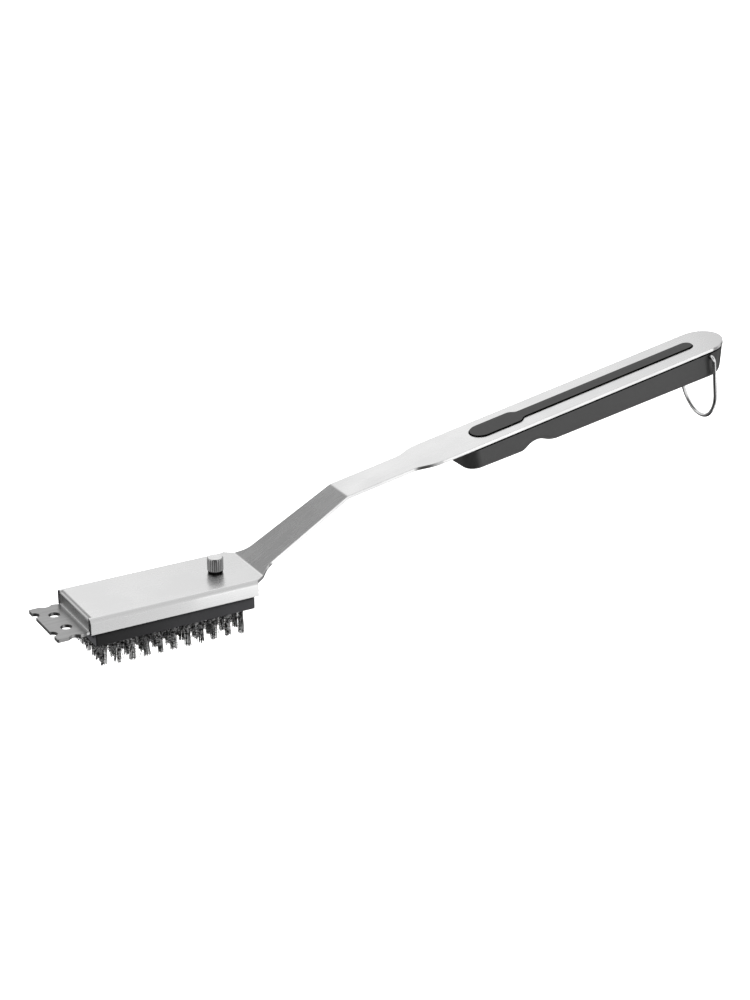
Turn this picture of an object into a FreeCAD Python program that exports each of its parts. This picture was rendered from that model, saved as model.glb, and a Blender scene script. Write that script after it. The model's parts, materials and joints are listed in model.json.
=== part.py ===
import FreeCAD, Part
import math
import os

# Grill cleaning brush: one bent steel frame (scraper, head tray, neck and handle strap),
# a plastic grip with an inlay, a wire hanging loop, and a brush head held by a thumb screw.
#
# Millimetres.  X runs from the scraper to the handle's end, Y is the width, +Z is up.
# The origin is at the middle of the object's box, on the surface that the bristle tips touch.
#
# Two local frames are used while building:
#   head frame    x = 0 at the front wall's outer face, z = 0 at the head plate's top face
#   handle frame  x = 0 at the upper bend, z = 0 at the handle strap's top face, x along the strap
#

# ---- sheet and head tray -----------------------------------------------------------------
SHEET = 2.0                 # sheet thickness
BEND = 1.6                  # mid-sheet radius of the tray's tight folds
NECK_BEND = 3.5             # mid-sheet radius of the two neck bends
HEAD_HALF = 23.5            # half the tray's width
TRAY_LENGTH = 100.9         # front wall to the end of the side flanges
FLANGE_HEIGHT = 9.1         # plate's top face to the flange's lower edge
WALL_HALF = 20.2            # half the front wall's width
CORNER_TRIM = 1.0           # plate's rear corners, in from the side flanges' outer faces
WALL_DROP = 7.9             # plate's top face to the scraper's top face

# ---- scraper -----------------------------------------------------------------------------
SCRAPER_LENGTH = 18.4       # ahead of the front wall's face
SCRAPER_HALF = 21.4
SCRAPER_NOSE = 0.8          # corner radius at the tip
ROD_NOTCH_RADIUS = 3.05
ROD_NOTCH_Y = 13.2
SIDE_SCOOP_X = 8.5          # from the front wall's face
SIDE_SCOOP_HALF = 3.3
SIDE_SCOOP_DEPTH = 1.7
SCRAPER_HOLE_RADIUS = 3.15
SCRAPER_HOLE_X = 8.35
SCRAPER_HOLE_SPACING = 17.3

# ---- neck --------------------------------------------------------------------------------
FOLD_X = 106.3              # where the neck starts to rise, from the front wall's face
FOLD_HALF = 18.25
NECK_RISE = 33.2
NECK_RUN = 58.8
FLARE_LENGTH = 8.7
FLARE_END_HALF = 12.9
NECK_HALF = 10.6

# ---- handle strap ------------------------------------------------------------------------
HANDLE_ANGLE = 10.5         # degrees above the horizontal
HANDLE_LENGTH = 273.0       # upper bend to the round end, along the strap
HANDLE_HALF = 15.1
SHOULDER_START = 44.5
SHOULDER_END = 62.0
SHOULDER_SOFT = 0.2         # half width still to gain behind the shoulder
SHOULDER_BLEND = 20.0       # length over which it is gained

# ---- inlay and its slot ------------------------------------------------------------------
SLOT_START = 90.2
SLOT_END = 252.9
SLOT_WIDE_HALF = 8.2
SLOT_NARROW_HALF = 4.95
SLOT_STEP_START = 120.0
SLOT_STEP_END = 127.0
INLAY_PROUD = 0.8
INLAY_EDGE = 0.35
SLOT_GAP = 0.45             # all round the inlay
INLAY_DEPTH = 3.2           # inlay's lower face, below the strap's top face

# ---- grip --------------------------------------------------------------------------------
GRIP_HALF = 14.8
GRIP_START = 78.2
GRIP_CORNER = 9.0
GRIP_EDGE = 3.0
GRIP_FRONT_DEPTH = 15.4
GRIP_NOTCH_START = 114.0
GRIP_NOTCH_START_DEPTH = 16.3
GRIP_NOTCH_X = 126.4
GRIP_NOTCH_DEPTH = 12.7
GRIP_NOTCH_END = 142.0
GRIP_NOTCH_END_DEPTH = 17.0
GRIP_REAR_DEPTH = 18.6
GRIP_WALL = 2.8
GROOVE_HEIGHT = 1.1         # shadow groove between the strap and the grip
GROOVE_DEPTH = 0.9
STERN_RAKE = 4.2            # how far the rear end leans forward over the grip's full depth
STERN_RADIUS = 10.0         # side-view rounding under the rear end
FRONT_POCKET = (86.0, 127.0, 9.8)       # start, end, depth below the strap's top face
REAR_POCKET = (131.0, 245.0, 12.4)
BOSS_RADIUS = 3.3
BOSS_JOINT_DEPTH = 8.0      # where the grip's bosses meet the inlay's
SCREW_PLACES = (98.0, 166.0, 236.0)

# ---- grip screws -------------------------------------------------------------------------
GRIP_SCREW_RADIUS = 1.3
GRIP_SCREW_HEAD_RADIUS = 2.7
GRIP_SCREW_HEAD = 1.8
GRIP_SCREW_RECESS = 2.6
GRIP_SCREW_BITE = 4.5       # into the inlay's boss

# ---- hanging loop ------------------------------------------------------------------------
WIRE_RADIUS = 1.15
RUNNING_GAP = 0.05
LOOP_X = 255.5              # pivot, along the strap
LOOP_DEPTH = 4.5            # pivot, below the strap's top face
LOOP_DROP = 44.6
LOOP_BOTTOM_RADIUS = 13.8
LOOP_SIDE_RADIUS = 24.0
LOOP_SIDE_START = 43.0      # degrees turned where the side arc begins
LOOP_LEAN = 3.7             # degrees that each leg leans outwards
LOOP_CORNER = 3.6
LOOP_TILT = 1.6             # degrees that the loop hangs forward of square to the strap
LOOP_END = 7.0              # where each wire end stops, from the middle

# ---- brush head --------------------------------------------------------------------------
CLEARANCE = 0.3
BLOCK_GAP = 1.3             # between the front wall and the block
BLOCK_LENGTH = 96.5
BLOCK_DEPTH = 17.6          # plate's top face to the block's lower face
BLOCK_FRONT_CORNER = 1.0
BLOCK_REAR_CORNER = 1.5
BLOCK_EDGE = 0.6
BRISTLE_LENGTH = 14.9
TUFT_ROWS = 6
TUFTS_PER_ROW = 11
ROW_PITCH = 7.2
TUFT_PITCH = 8.27
FIRST_TUFT_X = 9.1
TUFT_ROOT_RADIUS = 1.6
TUFT_TIP_RADIUS = 1.95
TUFT_HOLE_RADIUS = 1.65
TUFT_HOLE_DEPTH = 6.0
STAPLE_LENGTH = 4.2
STAPLE_THICKNESS = 0.5
STAPLE_HEIGHT = 1.6

# ---- thumb screw -------------------------------------------------------------------------
SCREW_X = 85.6
SCREW_HEAD_RADIUS = 4.6
SCREW_HEAD_HEIGHT = 8.0
SCREW_HEAD_EDGE = 0.6
KNURL_COUNT = 24
KNURL_RADIUS = 0.35
SHANK_RADIUS = 2.5
SHANK_LENGTH = 10.3         # below the plate's top face
WASHER_RADIUS = 4.2
WASHER_HEIGHT = 1.0
PLATE_HOLE_RADIUS = 2.8
INSERT_RADIUS = 4.0
INSERT_LENGTH = 8.0
SCREW_WELL_DEPTH = 11.1     # below the plate's top face

# ---- places worked out from the sizes above ----------------------------------------------
SIN_A = math.sin(math.radians(HANDLE_ANGLE))
COS_A = math.cos(math.radians(HANDLE_ANGLE))
BEND_X = FOLD_X + NECK_RUN
END_X = BEND_X + HANDLE_LENGTH * COS_A + SHEET * SIN_A
FRONT_X = (SCRAPER_LENGTH - END_X) / 2
PLATE_Z = BLOCK_DEPTH + BRISTLE_LENGTH
REAR_CENTRE = HANDLE_LENGTH - HANDLE_HALF
BLOCK_TOP = SHEET + CLEARANCE
BLOCK_START = SHEET + BLOCK_GAP
BLOCK_HALF = HEAD_HALF - SHEET - CLEARANCE
UP = FreeCAD.Vector(0, 0, 1)
ACROSS = FreeCAD.Vector(0, 1, 0)


def vec(x, y, z=0.0):
    return FreeCAD.Vector(x, y, z)


def to_row(shape):
    """Moves a shape from the head frame to the object's own frame."""
    moved = shape.copy()
    moved.translate(vec(FRONT_X, 0, PLATE_Z))
    return moved


def handle_to_head(shape):
    """Moves a shape from the handle frame to the head frame."""
    moved = shape.copy()
    moved.rotate(vec(0, 0, 0), ACROSS, -HANDLE_ANGLE)
    moved.translate(vec(BEND_X, 0, NECK_RISE))
    return moved


def line(start, end):
    return Part.LineSegment(start, end).toShape()


def arc(start, middle, end):
    return Part.Arc(start, middle, end).toShape()


def bezier(*points):
    curve = Part.BezierCurve()
    curve.setPoles(list(points))
    return curve.toShape()


def solid_from(edges, direction):
    """Extrudes the closed outline that the edges make."""
    wire = Part.Wire(Part.__sortEdges__(edges))
    return Part.Face(wire).extrude(direction)


def mirror_y(edges):
    return [edge.mirror(vec(0, 0, 0), ACROSS) for edge in edges]


def cylinder(radius, bottom, top, x=0.0, y=0.0):
    return Part.makeCylinder(radius, top - bottom, vec(x, y, bottom), UP)


def box(x_low, x_high, half_y, z_low, z_high):
    return Part.makeBox(x_high - x_low, 2 * half_y, z_high - z_low, vec(x_low, -half_y, z_low))


def fused(shapes):
    return shapes[0].multiFuse(shapes[1:]).removeSplitter()


# ---- bent sheet --------------------------------------------------------------------------
def unit(start, end):
    step = (end[0] - start[0], end[1] - start[1])
    size = math.hypot(step[0], step[1])
    return step[0] / size, step[1] / size


def sheet_side(path, radii, offset):
    """One face of a bent sheet seen from the side: edges at an offset from its mid-line path."""
    edges = []
    first = unit(path[0], path[1])
    last_point = vec(path[0][0] - offset * first[1], 0, path[0][1] + offset * first[0])
    for index in range(1, len(path) - 1):
        ahead = unit(path[index - 1], path[index])
        away = unit(path[index], path[index + 1])
        cross = ahead[0] * away[1] - ahead[1] * away[0]
        dot = ahead[0] * away[0] + ahead[1] * away[1]
        side = 1 if cross > 0 else -1
        radius = radii[index - 1]
        reach = radius * math.tan(math.atan2(abs(cross), dot) / 2)
        corner_x, corner_z = path[index]
        enter = (corner_x - ahead[0] * reach, corner_z - ahead[1] * reach)
        leave = (corner_x + away[0] * reach, corner_z + away[1] * reach)
        middle = unit((0, 0), (-ahead[1] - away[1], ahead[0] + away[0]))
        centre = (enter[0] - side * radius * ahead[1], enter[1] + side * radius * ahead[0])
        swing = side * (radius - side * offset)
        start = vec(enter[0] - offset * ahead[1], 0, enter[1] + offset * ahead[0])
        halfway = vec(centre[0] - swing * middle[0], 0, centre[1] - swing * middle[1])
        end = vec(leave[0] - offset * away[1], 0, leave[1] + offset * away[0])
        edges.append(line(last_point, start))
        edges.append(arc(start, halfway, end))
        last_point = end
    final = unit(path[-2], path[-1])
    end = vec(path[-1][0] - offset * final[1], 0, path[-1][1] + offset * final[0])
    edges.append(line(last_point, end))
    return edges


def bent_sheet(path, radii, half_width):
    """A sheet of constant thickness that follows a mid-line path in XZ."""
    upper = sheet_side(path, radii, SHEET / 2)
    lower = sheet_side(path, radii, -SHEET / 2)
    near_end = line(upper[0].firstVertex().Point, lower[0].firstVertex().Point)
    far_end = line(upper[-1].lastVertex().Point, lower[-1].lastVertex().Point)
    profile = solid_from(upper + [far_end] + lower + [near_end], vec(0, 2 * half_width, 0))
    profile.translate(vec(0, -half_width, 0))
    return profile


# ---- steel frame -------------------------------------------------------------------------
def front_fold():
    """Front wall with the fold down from the plate and the fold out to the scraper."""
    middle = SHEET / 2
    path = [(middle - 2 * BEND, -WALL_DROP - middle), (middle, -WALL_DROP - middle),
            (middle, -middle), (middle + 2 * BEND, -middle)]
    return bent_sheet(path, [BEND, BEND], WALL_HALF)


def scraper_half_outline():
    """The scraper's outline on the +Y side, from the middle of the tip to the front wall."""
    tip = -SCRAPER_LENGTH
    notch_low = ROD_NOTCH_Y - ROD_NOTCH_RADIUS
    notch_high = ROD_NOTCH_Y + ROD_NOTCH_RADIUS
    corner = SCRAPER_NOSE * (1 - math.sqrt(0.5))
    scoop_front = -SIDE_SCOOP_X - SIDE_SCOOP_HALF
    scoop_back = -SIDE_SCOOP_X + SIDE_SCOOP_HALF
    root = SHEET / 2 - BEND
    return [
        line(vec(tip, 0), vec(tip, notch_low)),
        arc(vec(tip, notch_low), vec(tip + ROD_NOTCH_RADIUS, ROD_NOTCH_Y), vec(tip, notch_high)),
        line(vec(tip, notch_high), vec(tip, SCRAPER_HALF - SCRAPER_NOSE)),
        arc(vec(tip, SCRAPER_HALF - SCRAPER_NOSE), vec(tip + corner, SCRAPER_HALF - corner),
            vec(tip + SCRAPER_NOSE, SCRAPER_HALF)),
        line(vec(tip + SCRAPER_NOSE, SCRAPER_HALF), vec(scoop_front, SCRAPER_HALF)),
        arc(vec(scoop_front, SCRAPER_HALF), vec(-SIDE_SCOOP_X, SCRAPER_HALF - SIDE_SCOOP_DEPTH),
            vec(scoop_back, SCRAPER_HALF)),
        bezier(vec(scoop_back, SCRAPER_HALF), vec(scoop_back / 2, SCRAPER_HALF),
               vec(scoop_back / 3, WALL_HALF), vec(root, WALL_HALF)),
    ]


def scraper():
    half = scraper_half_outline()
    root = SHEET / 2 - BEND
    back = line(vec(root, WALL_HALF), vec(root, -WALL_HALF))
    plate = solid_from(half + mirror_y(half) + [back], vec(0, 0, SHEET))
    plate.translate(vec(0, 0, -WALL_DROP - SHEET))
    for side in (-1, 1):
        y = side * SCRAPER_HOLE_SPACING / 2
        plate = plate.cut(cylinder(SCRAPER_HOLE_RADIUS, -2 * WALL_DROP, 0, -SCRAPER_HOLE_X, y))
    return plate


def side_flange():
    """One folded-down side of the tray (+Y), with the strip of plate beside the front wall."""
    outer = BEND + SHEET / 2
    inner = BEND - SHEET / 2
    centre_y = HEAD_HALF - outer
    slant = math.sqrt(0.5)
    top_outer = vec(0, centre_y, 0)
    top_inner = vec(0, centre_y, -SHEET)
    outer_mid = vec(0, centre_y + outer * slant, -outer + outer * slant)
    inner_mid = vec(0, centre_y + inner * slant, -outer + inner * slant)
    side_outer = vec(0, HEAD_HALF, -outer)
    side_inner = vec(0, HEAD_HALF - SHEET, -outer)
    low_outer = vec(0, HEAD_HALF, -FLANGE_HEIGHT)
    low_inner = vec(0, HEAD_HALF - SHEET, -FLANGE_HEIGHT)
    start_top = vec(0, WALL_HALF, 0)
    start_low = vec(0, WALL_HALF, -SHEET)
    edges = [
        line(start_top, top_outer),
        arc(top_outer, outer_mid, side_outer),
        line(side_outer, low_outer),
        line(low_outer, low_inner),
        line(low_inner, side_inner),
        arc(side_inner, inner_mid, top_inner),
        line(top_inner, start_low),
        line(start_low, start_top),
    ]
    return solid_from(edges, vec(TRAY_LENGTH, 0, 0))


def head_plate():
    """The flat part of the tray between the side flanges."""
    start = SHEET / 2 + 2 * BEND
    return box(start, TRAY_LENGTH, WALL_HALF, -SHEET, 0)


def neck_half_outline(last_x):
    """Plan outline on the +Y side: chamfered plate corner, flare and tapering neck."""
    flare_end = FOLD_X + FLARE_LENGTH
    return [
        line(vec(TRAY_LENGTH, HEAD_HALF - CORNER_TRIM), vec(FOLD_X, FOLD_HALF)),
        bezier(vec(FOLD_X, FOLD_HALF), vec(FOLD_X + FLARE_LENGTH * 0.35, FOLD_HALF - 2.7),
               vec(FOLD_X + FLARE_LENGTH * 0.55, FLARE_END_HALF + 0.4),
               vec(flare_end, FLARE_END_HALF)),
        line(vec(flare_end, FLARE_END_HALF), vec(BEND_X, NECK_HALF)),
        line(vec(BEND_X, NECK_HALF), vec(last_x, NECK_HALF)),
    ]


def neck():
    """Rear edge of the plate, the rising neck and the first stretch of the handle strap."""
    middle = SHEET / 2
    rise = math.atan2(NECK_RISE, NECK_RUN)
    lift = math.radians(HANDLE_ANGLE)
    fold = (FOLD_X + middle * math.tan(rise / 2), -middle)
    bend_shift = middle / math.cos((rise - lift) / 2)
    bend_slope = (rise + lift) / 2
    bend = (BEND_X + bend_shift * math.sin(bend_slope),
            NECK_RISE - bend_shift * math.cos(bend_slope))
    start = (TRAY_LENGTH, -middle)
    end = (bend[0] + SHOULDER_START / 2 * COS_A, bend[1] + SHOULDER_START / 2 * SIN_A)
    sheet = bent_sheet([start, fold, bend, end], [NECK_BEND, NECK_BEND], HEAD_HALF + 1)
    last_x = end[0] + SHEET
    half = neck_half_outline(last_x)
    corner_y = HEAD_HALF - CORNER_TRIM
    close_front = line(vec(TRAY_LENGTH, corner_y), vec(TRAY_LENGTH, -corner_y))
    close_rear = line(vec(last_x, NECK_HALF), vec(last_x, -NECK_HALF))
    height = NECK_RISE + HANDLE_LENGTH
    outline = solid_from(half + mirror_y(half) + [close_front, close_rear], vec(0, 0, 2 * height))
    outline.translate(vec(0, 0, -height))
    return sheet.common(outline)


def strap():
    """Flat handle strap in the handle frame: shoulders and a full round end."""
    start = SHOULDER_START / 2
    shoulder = vec(SHOULDER_END, HANDLE_HALF - SHOULDER_SOFT)
    full_width = vec(SHOULDER_END + SHOULDER_BLEND, HANDLE_HALF)
    half = [
        line(vec(start, NECK_HALF), vec(SHOULDER_START, NECK_HALF)),
        bezier(vec(SHOULDER_START, NECK_HALF), vec(SHOULDER_START + 5, NECK_HALF),
               vec(SHOULDER_START + 7.5, HANDLE_HALF - 0.5), shoulder),
        line(shoulder, full_width),
        line(full_width, vec(REAR_CENTRE, HANDLE_HALF)),
    ]
    front = line(vec(start, NECK_HALF), vec(start, -NECK_HALF))
    rear = arc(vec(REAR_CENTRE, HANDLE_HALF), vec(HANDLE_LENGTH, 0), vec(REAR_CENTRE, -HANDLE_HALF))
    plate = solid_from(half + mirror_y(half) + [front, rear], vec(0, 0, SHEET))
    plate.translate(vec(0, 0, -SHEET))
    return plate.cut(keyhole(0, -SHEET - 1, 1))


def keyhole(inset, bottom, top):
    """The slot's outline, wide at the front and narrow behind, drawn in by inset."""
    wide = SLOT_WIDE_HALF - inset
    narrow = SLOT_NARROW_HALF - inset
    front = SLOT_START + inset
    rear = SLOT_END - inset
    step_middle = (SLOT_STEP_START + SLOT_STEP_END) / 2
    half = [
        line(vec(front + wide, wide), vec(SLOT_STEP_START, wide)),
        bezier(vec(SLOT_STEP_START, wide), vec(step_middle, wide),
               vec(step_middle, narrow), vec(SLOT_STEP_END, narrow)),
        line(vec(SLOT_STEP_END, narrow), vec(rear - narrow, narrow)),
    ]
    nose = arc(vec(front + wide, wide), vec(front, 0), vec(front + wide, -wide))
    tail = arc(vec(rear - narrow, narrow), vec(rear, 0), vec(rear - narrow, -narrow))
    shape = solid_from(half + mirror_y(half) + [nose, tail], vec(0, 0, top - bottom))
    shape.translate(vec(0, 0, bottom))
    return shape


def handle_frame():
    flange = side_flange()
    other = flange.mirror(vec(0, 0, 0), ACROSS)
    folded = [head_plate(), flange, other, front_fold(), scraper(), neck()]
    frame = fused(folded + [handle_to_head(strap())])
    return frame.cut(cylinder(PLATE_HOLE_RADIUS, -SHEET - 1, 1, SCREW_X))


# ---- grip --------------------------------------------------------------------------------
def grip_outline(z, rake, inset=0.0):
    """Plan outline at one height: rounded front corners and a full round rear end."""
    centre = REAR_CENTRE - rake
    start = GRIP_START + inset
    half = GRIP_HALF - inset
    corner = GRIP_CORNER - inset
    slant = corner * (1 - math.sqrt(0.5))
    side_start = start + corner
    flat_half = half - corner
    edges = [
        line(vec(start, -flat_half, z), vec(start, flat_half, z)),
        arc(vec(start, flat_half, z), vec(start + slant, half - slant, z),
            vec(side_start, half, z)),
        line(vec(side_start, half, z), vec(centre, half, z)),
        arc(vec(centre, half, z), vec(centre + half, 0, z), vec(centre, -half, z)),
        line(vec(centre, -half, z), vec(side_start, -half, z)),
        arc(vec(side_start, -half, z), vec(start + slant, slant - half, z),
            vec(start, -flat_half, z)),
    ]
    return Part.Wire(edges)


def grip_plan():
    """Upright-sided body whose round rear end leans forward towards its lower face."""
    depth = GRIP_REAR_DEPTH + 2
    lower = grip_outline(-depth, STERN_RAKE * (depth - SHEET) / (GRIP_REAR_DEPTH - SHEET))
    leaning = Part.makeLoft([grip_outline(-SHEET, 0), lower], True, True)
    upright = Part.Face(grip_outline(-SHEET, 0)).extrude(vec(0, 0, SHEET - depth))
    ahead = box(GRIP_START - 1, (GRIP_NOTCH_END + REAR_CENTRE) / 2, 2 * GRIP_HALF, -depth - 1, 0)
    return upright.common(ahead).fuse(leaning.cut(ahead)).removeSplitter()


def shadow_groove():
    """Ring cut away from the grip's upper rim, just below the strap."""
    outer = Part.Face(grip_outline(-SHEET, 0, -1.0))
    inner = Part.Face(grip_outline(-SHEET, 0, GROOVE_DEPTH))
    return outer.cut(inner).extrude(vec(0, 0, -GROOVE_HEIGHT))


def grip_depth(x):
    """Depth of the grip's lower face behind the finger notch, or ahead of it."""
    if x > GRIP_NOTCH_END:
        share = (x - GRIP_NOTCH_END) / (REAR_CENTRE - GRIP_NOTCH_END)
        return GRIP_NOTCH_END_DEPTH + share * (GRIP_REAR_DEPTH - GRIP_NOTCH_END_DEPTH)
    share = (x - GRIP_START) / (GRIP_NOTCH_START - GRIP_START)
    return GRIP_FRONT_DEPTH + share * (GRIP_NOTCH_START_DEPTH - GRIP_FRONT_DEPTH)


def grip_profile():
    """Side outline of the grip, with the finger notch in its lower edge."""
    notch_floor = (GRIP_NOTCH_START + GRIP_NOTCH_X) / 2
    notch_rise = (GRIP_NOTCH_X + GRIP_NOTCH_END) / 2
    far = HANDLE_LENGTH - STERN_RAKE
    low = GRIP_START - 1
    bottom = -grip_depth(far)
    slant = STERN_RADIUS * math.sqrt(0.5)
    front = vec(low, 0, -grip_depth(low))
    enter = vec(GRIP_NOTCH_START, 0, -GRIP_NOTCH_START_DEPTH)
    notch = vec(GRIP_NOTCH_X, 0, -GRIP_NOTCH_DEPTH)
    leave = vec(GRIP_NOTCH_END, 0, -GRIP_NOTCH_END_DEPTH)
    rear = vec(far - STERN_RADIUS, 0, bottom)
    rear_middle = vec(far - STERN_RADIUS + slant, 0, bottom + STERN_RADIUS - slant)
    rear_top = vec(far, 0, bottom + STERN_RADIUS)
    top = vec(HANDLE_LENGTH + 1, 0, -SHEET)
    edges = [
        line(vec(low, 0, -SHEET), front),
        line(front, enter),
        bezier(enter, vec(notch_floor - 1, 0, -GRIP_NOTCH_START_DEPTH - 0.3),
               vec(notch_floor, 0, -GRIP_NOTCH_DEPTH), notch),
        bezier(notch, vec(notch_rise - 2, 0, -GRIP_NOTCH_DEPTH),
               vec(notch_rise - 1, 0, -GRIP_NOTCH_END_DEPTH + 0.1), leave),
        line(leave, rear),
        arc(rear, rear_middle, rear_top),
        line(rear_top, top),
        line(top, vec(low, 0, -SHEET)),
    ]
    body = solid_from(edges, vec(0, 4 * GRIP_HALF, 0))
    body.translate(vec(0, -2 * GRIP_HALF, 0))
    return body


def lower_edges(body):
    """Edges round the grip's lower face: below the strap and not upright."""
    chosen = []
    for edge in body.Edges:
        box_of_edge = edge.BoundBox
        upright = box_of_edge.XLength < 0.01 and box_of_edge.YLength < 0.01
        across = box_of_edge.YLength > 2 * (GRIP_HALF - GRIP_EDGE)
        below = box_of_edge.ZMax < -SHEET - 1
        if below and not upright and not across:
            chosen.append(edge)
    return chosen


def pocket(limits):
    start, end, depth = limits
    return box(start, end, GRIP_HALF - GRIP_WALL, -depth, -SHEET + 1)


def screw_seat(place):
    return -grip_depth(place) + GRIP_SCREW_RECESS


def grip_shell():
    body = grip_plan().common(grip_profile())
    body = body.makeFillet(GRIP_EDGE, lower_edges(body))
    body = body.cut(shadow_groove())
    body = body.cut(pocket(FRONT_POCKET)).cut(pocket(REAR_POCKET))
    body = body.cut(keyhole(0, -INLAY_DEPTH, 0))
    for place in SCREW_PLACES:
        body = body.fuse(cylinder(BOSS_RADIUS, screw_seat(place), -BOSS_JOINT_DEPTH, place))
    for place in SCREW_PLACES:
        body = body.cut(cylinder(GRIP_SCREW_RADIUS, -2 * GRIP_REAR_DEPTH, 0, place))
        body = body.cut(cylinder(GRIP_SCREW_HEAD_RADIUS + CLEARANCE, -2 * GRIP_REAR_DEPTH,
                                 screw_seat(place), place))
    hole = Part.makeCylinder(WIRE_RADIUS + RUNNING_GAP, 4 * GRIP_HALF,
                             vec(LOOP_X, -2 * GRIP_HALF, -LOOP_DEPTH), ACROSS)
    return body.cut(hole).removeSplitter()


def grip_inlay():
    """Strip that fills the strap's slot with a gap all round, and screw bosses below."""
    strip = keyhole(SLOT_GAP, -INLAY_DEPTH, INLAY_PROUD)
    top_edges = [edge for edge in strip.Edges if edge.BoundBox.ZMin > INLAY_PROUD - 0.01]
    strip = strip.makeFillet(INLAY_EDGE, top_edges)
    shapes = [strip]
    for place in SCREW_PLACES:
        shapes.append(cylinder(BOSS_RADIUS, -BOSS_JOINT_DEPTH, -INLAY_DEPTH, place))
    inlay = fused(shapes)
    for place in SCREW_PLACES:
        bite_top = -BOSS_JOINT_DEPTH + GRIP_SCREW_BITE
        inlay = inlay.cut(cylinder(GRIP_SCREW_RADIUS, -BOSS_JOINT_DEPTH - 1, bite_top, place))
    return inlay


def grip_screw(place):
    """Pan-head screw, head downwards, with a cross recess."""
    seat = screw_seat(place)
    top = -BOSS_JOINT_DEPTH + GRIP_SCREW_BITE
    shank = cylinder(GRIP_SCREW_RADIUS, seat, top, place)
    head = cylinder(GRIP_SCREW_HEAD_RADIUS, seat - GRIP_SCREW_HEAD, seat, place)
    rim = [edge for edge in head.Edges if edge.BoundBox.ZMax < seat - GRIP_SCREW_HEAD + 0.01]
    head = head.makeFillet(GRIP_SCREW_HEAD / 3, rim)
    screw = fused([shank, head])
    slot_half = GRIP_SCREW_HEAD_RADIUS * 0.6
    slot_width = GRIP_SCREW_HEAD_RADIUS * 0.15
    floor = seat - GRIP_SCREW_HEAD * 0.4
    below = seat - 2 * GRIP_SCREW_HEAD
    long_slot = box(place - slot_half, place + slot_half, slot_width, below, floor)
    cross_slot = box(place - slot_width, place + slot_width, slot_half, below, floor)
    return screw.cut(long_slot).cut(cross_slot)


def grip_screws():
    return Part.makeCompound([grip_screw(place) for place in SCREW_PLACES])


# ---- hanging loop ------------------------------------------------------------------------
def loop_half_path():
    """Edges of the +Y half of the loop, in the YZ plane of the pivot, from the bottom up."""
    lean = math.radians(90 - LOOP_LEAN)
    turn = math.radians(LOOP_SIDE_START)
    y, z = 0.0, -LOOP_DROP
    heading = 0.0
    edges = []
    for radius, target in ((LOOP_BOTTOM_RADIUS, turn), (LOOP_SIDE_RADIUS, lean)):
        points = []
        for angle in (heading, (heading + target) / 2, target):
            points.append(vec(0, y + radius * (math.sin(angle) - math.sin(heading)),
                              z + radius * (math.cos(heading) - math.cos(angle))))
        edges.append(arc(*points))
        y, z = points[-1].y, points[-1].z
        heading = target
    corner_rise = LOOP_CORNER * (1 + math.cos(lean))
    leg = -corner_rise - z
    leg_end = vec(0, y + leg / math.tan(lean), z + leg)
    edges.append(line(vec(0, y, z), leg_end))
    points = [leg_end]
    for angle in ((lean + math.pi) / 2, math.pi):
        points.append(vec(0, leg_end.y + LOOP_CORNER * (math.sin(angle) - math.sin(lean)),
                          leg_end.z + LOOP_CORNER * (math.cos(lean) - math.cos(angle))))
    edges.append(arc(*points))
    edges.append(line(points[-1], vec(0, LOOP_END, 0)))
    return edges


def hanging_loop():
    half = loop_half_path()
    path = Part.Wire(Part.__sortEdges__(half + mirror_y(half)))
    start = Part.Circle(vec(0, LOOP_END, 0), ACROSS, WIRE_RADIUS).toShape()
    loop = path.makePipeShell([Part.Wire([start])], True, False)
    loop.rotate(vec(0, 0, 0), ACROSS, LOOP_TILT)
    loop.translate(vec(LOOP_X, 0, -LOOP_DEPTH))
    return loop


# ---- brush head --------------------------------------------------------------------------
def tuft_x(index):
    return FIRST_TUFT_X + index * TUFT_PITCH


def row_y(row):
    return (row - (TUFT_ROWS - 1) / 2) * ROW_PITCH


def block_body():
    """Plain block with rounded upright corners and softened lower edges."""
    body = box(BLOCK_START, BLOCK_START + BLOCK_LENGTH, BLOCK_HALF, -BLOCK_DEPTH, -BLOCK_TOP)
    end = BLOCK_START + BLOCK_LENGTH
    for at, radius in ((BLOCK_START, BLOCK_FRONT_CORNER), (end, BLOCK_REAR_CORNER)):
        corners = [edge for edge in body.Edges
                   if edge.BoundBox.ZLength > 1 and abs(edge.BoundBox.Center.x - at) < 0.01]
        body = body.makeFillet(radius, corners)
    lower = [edge for edge in body.Edges if edge.BoundBox.ZMax < -BLOCK_DEPTH + 0.01]
    return body.makeFillet(BLOCK_EDGE, lower)


def tuft_hole(x, y):
    """Blind hole for one tuft, with the slit that its staple is driven into."""
    floor = -BLOCK_DEPTH + TUFT_HOLE_DEPTH
    hole = cylinder(TUFT_HOLE_RADIUS, -BLOCK_DEPTH - 1, floor, x, y)
    return hole.fuse(staple_bar(x, y))


def staple_bar(x, y):
    floor = -BLOCK_DEPTH + TUFT_HOLE_DEPTH
    bar = Part.makeBox(STAPLE_LENGTH, STAPLE_THICKNESS, STAPLE_HEIGHT)
    bar.translate(vec(x - STAPLE_LENGTH / 2, y - STAPLE_THICKNESS / 2, floor - 1 - STAPLE_HEIGHT))
    return bar


def brush_block():
    holes = [tuft_hole(tuft_x(i), row_y(row))
             for row in range(TUFT_ROWS) for i in range(TUFTS_PER_ROW)]
    body = block_body().cut(Part.makeCompound(holes))
    insert_pocket = cylinder(INSERT_RADIUS, -BLOCK_TOP - INSERT_LENGTH, 0, SCREW_X)
    well = cylinder(SHANK_RADIUS + 2 * CLEARANCE, -SCREW_WELL_DEPTH, 0, SCREW_X)
    return body.cut(insert_pocket).cut(well)


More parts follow.
